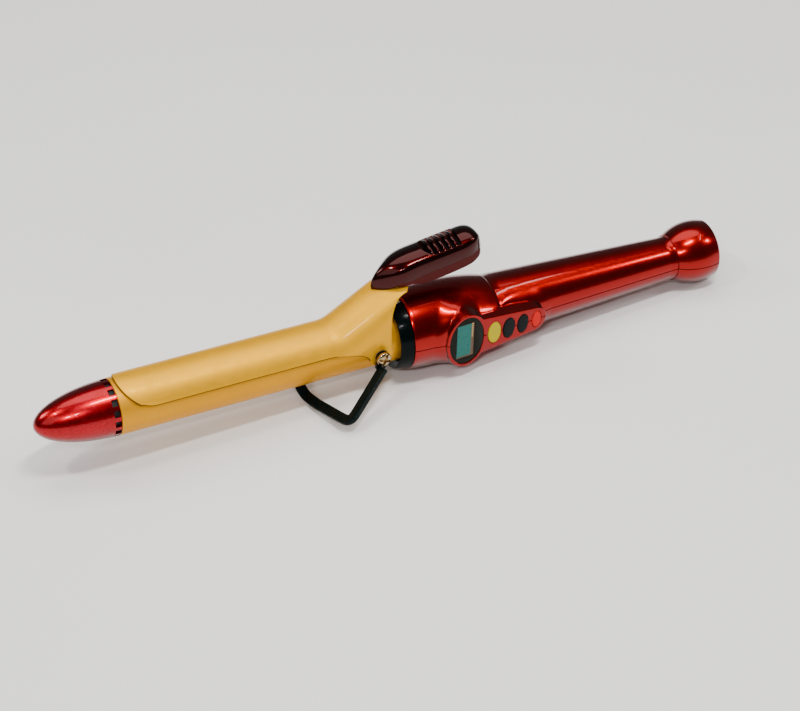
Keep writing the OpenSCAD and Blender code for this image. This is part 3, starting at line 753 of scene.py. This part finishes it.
def panel_distance(u, v):
    """Signed distance to the panel's outline: the window's rim joined to the tapering button bar."""
    a, b = WINDOW_A + RIM, WINDOW_B + RIM
    f = sqrt((u / a) ** 2 + (v / b) ** 2) or 1e-6
    g = sqrt((u / a ** 2) ** 2 + (v / b ** 2) ** 2) / f or 1e-6
    oval = (f - 1) / g
    qx, qy, h = abs(v), u - BAR_FRONT[0], BAR_REAR[0] - BAR_FRONT[0]
    slope = (BAR_FRONT[1] - BAR_REAR[1]) / h
    flat = sqrt(1 - slope ** 2)
    k = -slope * qx + flat * qy
    if k < 0:
        bar = hypot(qx, qy) - BAR_FRONT[1]
    elif k > flat * h:
        bar = hypot(qx, qy - h) - BAR_REAR[1]
    else:
        bar = flat * qx + slope * qy - BAR_FRONT[1]
    soft = max(0.8 - abs(oval - bar), 0) / 0.8
    return min(oval, bar) - soft * soft * 0.2


def reach(angle, distance):
    """Point where the ray from the panel's middle comes to that distance from the outline."""
    lo, hi = 0.5, 60.0
    for _ in range(34):
        mid = (lo + hi) / 2
        if panel_distance(PANEL_MID + mid * cos(angle), mid * sin(angle)) < distance:
            lo = mid
        else:
            hi = mid
    return PANEL_MID + lo * cos(angle), lo * sin(angle)


RIM_ROUND = 1.6  # rounding of the bell's rim
CORD_HOLE_R = 7.3
FAIRING = 6.0  # how far the fairing spreads from the panel's outline
EDGE_DROP = 0.42


def soft_max(a, b, k):
    """The greater of two heights, with a rounded change between them."""
    h = max(k - abs(a - b), 0) / k
    return max(a, b) + h * h * k / 4


def fairing_reach(angle):
    """How far the fairing may spread that way before it leaves the body's display side."""
    d = FAIRING
    while d > 0.6:
        u, v = reach(angle, d)
        if abs(v) < 0.93 * body_r(PANEL_X + u):
            break
        d -= 0.1
    return d / FAIRING


def fairing_height(angle, d, scale):
    """Height of the fairing over the plain body, at distance d from the outline."""
    u0, v0 = reach(angle, 0.1)
    wall = max(0.0, -EDGE_DROP - body_w(u0, v0))
    fade = (1 - smoothstep(0.0, FAIRING, d)) * min(1, scale * 1.5)
    fade *= mix(1.0, 0.25, smoothstep(14.0, 26.0, u0))
    return mix(0.012, -0.02, smoothstep(FAIRING / 2, FAIRING, d)) + 0.45 * wall * fade


def boss_solid():
    """The flat panel with its rounded edge, and the fairing that runs out into the body."""
    count = 360
    angles = [2 * pi * i / count for i in range(count)]
    spread = [0.02, 0.06, 0.12, 0.2, 0.3, 0.42, 0.56, 0.74, 0.95, 1.2,
              1.5, 1.9, 2.3, 2.8, 3.3, 3.9, 4.5, 5.1, 5.6, FAIRING]
    rings = []
    for d, w in ((-0.4, 0.0), (-0.2, -0.05), (-0.06, -0.18), (0.0, -EDGE_DROP)):
        rings.append([pan(*reach(a, d), w) for a in angles])
    limits = [fairing_reach(a) for a in angles]
    limits = [sum(limits[(i + k) % count] for k in range(-6, 7)) / 13 for i in range(count)]
    for d in spread:
        ring = []
        for a, scale in zip(angles, limits):
            u, v = reach(a, d * scale)
            blended = body_w(u, v) + fairing_height(a, d, scale)
            ring.append(pan(u, v, soft_max(-EDGE_DROP - 7.5 * d * scale, blended, 1.3)))
        rings.append(ring)
    skirt = [reach(a, (FAIRING - 0.1) * scale) for a, scale in zip(angles, limits)]
    rings.append([pan(u, v, body_w(u, v) - 1.2) for u, v in skirt])
    rings.append([pan(PANEL_MID + 2 * cos(a), 2 * sin(a), -11) for a in angles])
    return lofted("boss", rings)


def oval(cu, w, h, n=96):
    """Outline of an oval of width w and height h at cu along the panel."""
    return [(cu + w / 2 * cos(2 * pi * i / n), h / 2 * sin(2 * pi * i / n)) for i in range(n)]


def well(cu, w, h, depth, chamfer=0.2):
    """Cutter for an oval well in the panel, with a chamfered mouth."""
    rings = []
    for level, grow in ((-depth, 0), (-chamfer, 0), (0.0, chamfer), (1.0, chamfer)):
        rings.append([pan(u, v, level) for u, v in oval(cu, w + 2 * grow, h + 2 * grow)])
    return lofted("well", rings)


def shell_solid():
    """Both shells as one hollow turned body: head, shoulder, tapering handle and bell."""
    step_r = head_r(SHOULDER_X - 0.9)
    handle_len = BELL_X - SHOULDER_X
    rim_r = bell_r(END_X - RIM_ROUND)
    outer = [(SHELL_X, 17.5), (SHELL_X + 0.12, 17.85)]
    outer += [(x, head_r(x)) for x in [172.0 + 1.2 * i for i in range(35)] if x < SHOULDER_X - 1.4]
    outer += [(SHOULDER_X - 1.2, head_r(SHOULDER_X - 1.2)), (SHOULDER_X - 0.8, step_r - 0.02),
              (SHOULDER_X - 0.45, step_r - 0.2), (SHOULDER_X - 0.2, head_r(SHOULDER_X) - 0.2),
              (SHOULDER_X, HANDLE_R0 + 0.12), (SHOULDER_X + 0.3, handle_r(SHOULDER_X) + 0.01)]
    along = [SHOULDER_X + handle_len * i / 24 for i in range(1, 24)]
    outer += [(x, handle_r(x)) for x in along]
    outer += [(BELL_X - 0.3, HANDLE_R1 + 0.01), (BELL_X, HANDLE_R1 + 0.15), (BELL_X + 0.1, HANDLE_R1 + 0.6),
              (BELL_X + 0.45, bell_r(BELL_X + 0.45))]
    outer += [(x, bell_r(x)) for x in [313.2 + 1.1 * i for i in range(17)] if x < END_X - RIM_ROUND - 0.1]
    for a in range(5, 90, 10):
        outer.append((END_X - RIM_ROUND + RIM_ROUND * sin(radians(a)),
                      rim_r - RIM_ROUND + RIM_ROUND * cos(radians(a))))
    outer += [(END_X, rim_r - 2.2), (END_X - 0.3, rim_r - 2.6), (328.9, 7.7), (328.6, CORD_HOLE_R)]
    inner = [(322, CORD_HOLE_R), (322, 11.5), (313, 8.6), (312, 8.2), (BELL_X - 0.2, 8.2),
             (SHOULDER_X + 1, 13.1), (208, 14.5), (196, 16.2), (182, 16.4), (SHELL_X + 2.3, 15.95),
             (SHELL_X, 15.95)]
    return revolved("shells", outer + inner, TURN_STEPS)


shells = shell_solid()
boolean(shells, [boss_solid()], "UNION")
cutters = [well(0, 2 * WINDOW_A + 0.1, 2 * WINDOW_B + 0.1, 1.6)]
cutters += [well(u, w + 0.45, h + 0.45, 2.2, 0.12) for _, u, w, h, _, _ in BUTTONS]
boolean(shells, [join("wells", cutters)])
for side, name, node in ((1, "handle_upper_shell", "upper_shell"), (-1, "handle_lower_shell", "lower_shell")):
    half = bpy.data.objects.new(name, shells.data.copy())
    bpy.context.scene.collection.objects.link(half)
    z0, z1 = (SEAM, 60) if side > 0 else (-60, -SEAM)
    boolean(half, [box_mesh("half", 150, 350, -60, 60, z0, z1)], "INTERSECT")
    make(half, RED, "iron_body", [node], 32)
bpy.data.objects.remove(shells)

# ---------------------------------------------------------------- display
LCD_U0, LCD_U1, LCD_V0, LCD_V1 = -5.1, 2.2, -8.2, 9.0
FRAME_U, FRAME_V = 1.6, 1.0  # width of the frame that shows behind and below the display
FIT = 0.02  # gap round the display's own parts


def plate(name, u0, u1, v0, v1, w0, w1):
    """Box in the panel's frame."""
    return prism(name, [(u0, v0), (u1, v0), (u1, v1), (u0, v1)], w0, w1, pan)


window = prism("display_disc", oval(0, 2 * WINDOW_A - 0.05, 2 * WINDOW_B - 0.05, 128), -1.5, -0.32, pan)
boolean(window, [plate("opening", LCD_U0, LCD_U1 + FRAME_U, LCD_V0 - FRAME_V, LCD_V1, -3, 1)])
bevel(window, 0.08)
make(window, WINDOW, "iron_body", ["display_window"], 40)
pane = plate("lcd_pane", LCD_U0 + FIT, LCD_U1, LCD_V0, LCD_V1 - FIT, -1.4, -0.55)
make(pane, LCD, "iron_body", ["lcd_glass"])
frame_low = LCD_V0 - FRAME_V + FIT
bronze = [plate("edge", LCD_U1 + FIT, LCD_U1 + FRAME_U - FIT, frame_low, LCD_V1 - FIT, -1.5, -0.62),
          plate("edge", LCD_U0 + FIT, LCD_U1, frame_low, LCD_V0 - FIT, -1.5, -0.62)]
make(join("lcd_frame_edge", bronze), BRONZE, "iron_body", ["lcd_frame"])
contacts = []
for i in range(7):
    v = 8.2 - 1.15 * i
    contacts.append(plate("contact", LCD_U1 + 0.25, LCD_U1 + 0.95, v, v + 0.45, -0.7, -0.55))
make(join("lcd_contacts", contacts), BRASS, "iron_body")


def button_solid(name, cu, w, h):
    """Oval button with a softly crowned face."""
    levels = [(-2.3, 0.0), (-0.05, 0.0), (0.12, 0.05), (0.22, 0.18), (0.27, 0.45), (0.31, 1.1), (0.33, 1.8)]
    rings = [[pan(u, v, level) for u, v in oval(cu, w - 2 * inset, h - 2 * inset)] for level, inset in levels]
    return lofted(name, rings)


for key, u, w, h, look, slot_name in BUTTONS:
    make(button_solid("button_cap_" + key, u, w, h), look, key + "_key", ["button_" + key], 40)

# ---------------------------------------------------------------- pivot screws
SCREW_SEAT, SCREW_R, SHANK_R = 15.9, 3.4, 1.5
RIM_H, DOME_H = 0.9, 1.25
SLOT_LEN, SLOT_W, SLOT_FLOOR = 5.8, 1.4, 0.35


def screw(side):
    """Domed screw with a cross slot, on the side of y that side gives."""
    profile = [(SHANK_R, 10), (SHANK_R, SCREW_SEAT), (SCREW_R - 0.15, SCREW_SEAT),
               (SCREW_R, SCREW_SEAT + 0.15), (SCREW_R, SCREW_SEAT + RIM_H)]
    profile += [(SCREW_R * cos(radians(a)), SCREW_SEAT + RIM_H + DOME_H * sin(radians(a)))
                for a in range(10, 90, 10)]
    n = 64
    turns = [2 * pi * i / n for i in range(n)]
    rings = [[(PIVOT[0] + r * cos(a), side * y, PIVOT[1] + r * sin(a)) for a in turns] for r, y in profile]
    head = lofted("screw", rings)
    slots = []
    for a in (20, 110):
        bar = box_mesh("slot", -SLOT_LEN / 2, SLOT_LEN / 2, SCREW_SEAT + SLOT_FLOOR, SCREW_SEAT + 4,
                       -SLOT_W / 2, SLOT_W / 2)
        bar.data.transform(Matrix.Rotation(radians(a), 4, "Y"))
        bar.data.transform(Matrix.Translation((PIVOT[0], 0, PIVOT[1])))
        if side < 0:
            bar.data.transform(Matrix.Scale(-1, 4, (0, 1, 0)))
            bar.data.flip_normals()
        slots.append(bar)
    boolean(head, slots)
    return bevel(head, 0.1)


screws = join("pivot_screws", [screw(-1), screw(1)])
make(screws, SCREW, "iron_body", ["hinge_screws"], 40)

# ---------------------------------------------------------------- rest
REST_ROOT, REST_ANGLE = (155.3, -5.2), radians(62)
STRIP_W, STRIP_T, STRIP_ROUND = 4.8, 2.0, 0.5
TAB_IN, TAB_OUT, TAB_R, NECK_R = 14.2, 16.3, 3.3, 2.4
# The far half of the strip's middle line, from its root to the foot's middle, as (across, away)
LINE = [(17.4, -0.2), (19.7, 3.6), (22.0, 7.5), (26.3, 15.0), (29.9, 21.4), (30.7, 24.4), (28.4, 26.5),
        (16.5, 30.4), (8.0, 32.9), (0, 34)]


def rest_point(y, rho, out):
    """Point of the rest's plane: y across, rho away from the hinge, out square to the strip."""
    return (REST_ROOT[0] - rho * sin(REST_ANGLE) + out * cos(REST_ANGLE), y,
            REST_ROOT[1] - rho * cos(REST_ANGLE) - out * sin(REST_ANGLE))


def spline(a, b, c, d, t):
    """Point at t on the smooth curve from b to c, with a and d as their neighbours."""
    point = []
    for p, q, r, s in zip(a, b, c, d):
        square = 2 * p - 5 * q + 4 * r - s
        cube = 3 * q - p - 3 * r + s
        point.append(0.5 * (2 * q + (r - p) * t + square * t * t + cube * t ** 3))
    return tuple(point)


whole = LINE + [(-y, rho) for y, rho in reversed(LINE[:-1])]
centre = []
for i in range(len(whole) - 1):
    p0, p1, p2 = whole[max(i - 1, 0)], whole[i], whole[i + 1]
    p3 = whole[min(i + 2, len(whole) - 1)]
    centre += [spline(p0, p1, p2, p3, t / 8) for t in range(8)]
centre.append(whole[-1])
round_p, round_q = STRIP_W / 2 - STRIP_ROUND, STRIP_T / 2 - STRIP_ROUND
section = []
for p, q, a0 in ((round_p, round_q, 0), (-round_p, round_q, 90), (-round_p, -round_q, 180),
                 (round_p, -round_q, 270)):
    turns = [radians(a0 + a) for a in (0, 22, 45, 68, 90)]
    section += [(p + STRIP_ROUND * cos(a), q + STRIP_ROUND * sin(a)) for a in turns]
rings = []
for i, (y, rho) in enumerate(centre):
    a, b = centre[max(i - 1, 0)], centre[min(i + 1, len(centre) - 1)]
    length = hypot(b[0] - a[0], b[1] - a[1])
    ny, nr = -(b[1] - a[1]) / length, (b[0] - a[0]) / length
    rings.append([rest_point(y + p * ny, rho + p * nr, q) for p, q in section])
strip = lofted("rest_loop", rings)
tab_len = hypot(PIVOT[0] - REST_ROOT[0], PIVOT[1] - REST_ROOT[1]) - 0.4
tab_turn = atan2(PIVOT[0] - REST_ROOT[0], PIVOT[1] - REST_ROOT[1])
tab_end = (PIVOT[0] - tab_len * sin(tab_turn), PIVOT[1] - tab_len * cos(tab_turn))
tab_outline = arc(*PIVOT, TAB_R, -20, 200, 22) + arc(*tab_end, NECK_R, 190, 350, 16)
tabs, cuts = [], []
for side in (-1, 1):
    tab = prism("tab", tab_outline, side * TAB_IN, side * TAB_OUT, side_view)
    tabs.append(bevel(tab, 0.25))
    cuts.append(across_bore(PIVOT_BORE, side * 5, side * 20, 71))
    cuts.append(across_bore(SCREW_R + 0.25, side * (SCREW_SEAT - 0.15), side * 20, 71))
boolean(strip, tabs, "UNION")
boolean(strip, cuts)
make(strip, ENAMEL, "rest", ["rest_strip"], 40)

# ---------------------------------------------------------------- swivel gland
# Tail for the slip rings, flange inside the bell, and a rounded sleeve round the cord's bore
CORD_BORE_R, WIRE_BORE_R = 3.1, 1.6
gland_profile = [(308, WIRE_BORE_R), (308, 2.58), (313.6, 2.58), (313.7, 5.4), (316.6, 5.4), (316.6, 9.2),
                 (319, 9.2), (319, 6.6), (328.2, 6.6), (328.8, 6.3), (331.3, 5.7), (331.8, 5.2), (331.8, 3.4),
                 (331.5, CORD_BORE_R), (317, CORD_BORE_R), (317, WIRE_BORE_R)]
gland = revolved("cord_gland", gland_profile, 128)
make(gland, RUBBER, "swivel", ["swivel_gland"], 40)

# ---------------------------------------------------------------- camera
CAMERA_AT = Vector((-222.4, -768.1, 642.1))
CAMERA_AZ, CAMERA_EL, CAMERA_ROLL = radians(-27.228), radians(37.258), radians(2.011)
back = Vector((sin(CAMERA_AZ) * cos(CAMERA_EL), -cos(CAMERA_AZ) * cos(CAMERA_EL), sin(CAMERA_EL)))
level = Vector((cos(CAMERA_AZ), sin(CAMERA_AZ), 0))
above = back.cross(level)
right = cos(CAMERA_ROLL) * level + sin(CAMERA_ROLL) * above
up = -sin(CAMERA_ROLL) * level + cos(CAMERA_ROLL) * above
turn = Matrix((EX, EY, EZ)).transposed()
place = Matrix([turn @ v for v in (right, up, back)]).transposed().to_4x4()
place.translation = TO_ROW @ CAMERA_AT
camera_data = bpy.data.cameras.new("camera")
camera_data.sensor_width = 36
camera_data.lens = 108
camera_data.clip_end = 20
camera = bpy.data.objects.new("camera", camera_data)
bpy.context.scene.collection.objects.link(camera)
camera.matrix_world = place
bpy.context.scene.camera = camera

# ---------------------------------------------------------------- floor and light
FLOOR_HALF = 6.0
FLOOR_GREY = [(0.3, (0.86, 0.86, 0.86)), (0.7, (0.9, 0.9, 0.9))]
corners = [(-FLOOR_HALF, -FLOOR_HALF, 0), (FLOOR_HALF, -FLOOR_HALF, 0), (FLOOR_HALF, FLOOR_HALF, 0),
           (-FLOOR_HALF, FLOOR_HALF, 0)]
floor = mesh_object("floor", corners, [(0, 1, 2, 3)])
floor.location.z = -0.0002
floor_look = Nodes("pale_floor")
floor_look.set(Base_Color=floor_look.ramp(floor_look.noise(3, 2), FLOOR_GREY), Roughness=0.9)
floor.data.materials.append(floor_look.mat)

world = bpy.data.worlds.new("world")
bpy.context.scene.world = world
world.use_nodes = True
world.node_tree.nodes["Background"].inputs[0].default_value = (1, 0.99, 0.97, 1)
world.node_tree.nodes["Background"].inputs[1].default_value = 0.14


def area_light(name, at, to, size, power, size_y=None, shape="RECTANGLE"):
    """Warm white soft light at one point, aimed at another; places and sizes in metres, power in watts."""
    data = bpy.data.lights.new(name, "AREA")
    data.shape = shape
    data.size = size
    data.size_y = size_y or size
    data.energy = power
    data.color = (1, 0.98, 0.95)
    obj = bpy.data.objects.new(name, data)
    obj.location = at
    obj.rotation_mode = "QUATERNION"
    obj.rotation_quaternion = (Vector(to) - Vector(at)).to_track_quat("-Z", "Y")
    bpy.context.scene.collection.objects.link(obj)


area_light("sky", (0.15, 0.42, 1.42), (0, 0, 0), 1.6, 11.5, 0.9, shape="ELLIPSE")
area_light("lever_strip", (0.08, -0.36, 1.2), (0.03, 0, 0.05), 0.34, 9, 0.08)
area_light("handle_strip", (0.66, -0.20, 1.04), (0.1, 0, 0.03), 0.42, 1.1, 0.03)
area_light("nose", (-1.0, 0.78, 0.97), (-0.15, 0, 0), 0.4, 6)
area_light("spark", (-0.36, -0.86, 0.97), (-0.15, 0, 0), 0.06, 1.6)
area_light("side", (0.82, -0.42, 0.77), (0, 0, 0), 0.14, 2.5)
area_light("flare_low", (-0.50, -0.77, 0.84), (-0.02, 0, 0.04), 0.12, 3.0, 0.05)
area_light("flare_high", (-0.64, 0.02, 1.07), (-0.02, 0, 0.04), 0.12, 3.0, 0.05)
area_light("fill", (-1.5, -0.7, 1.3), (0, 0, 0), 1.2, 6)
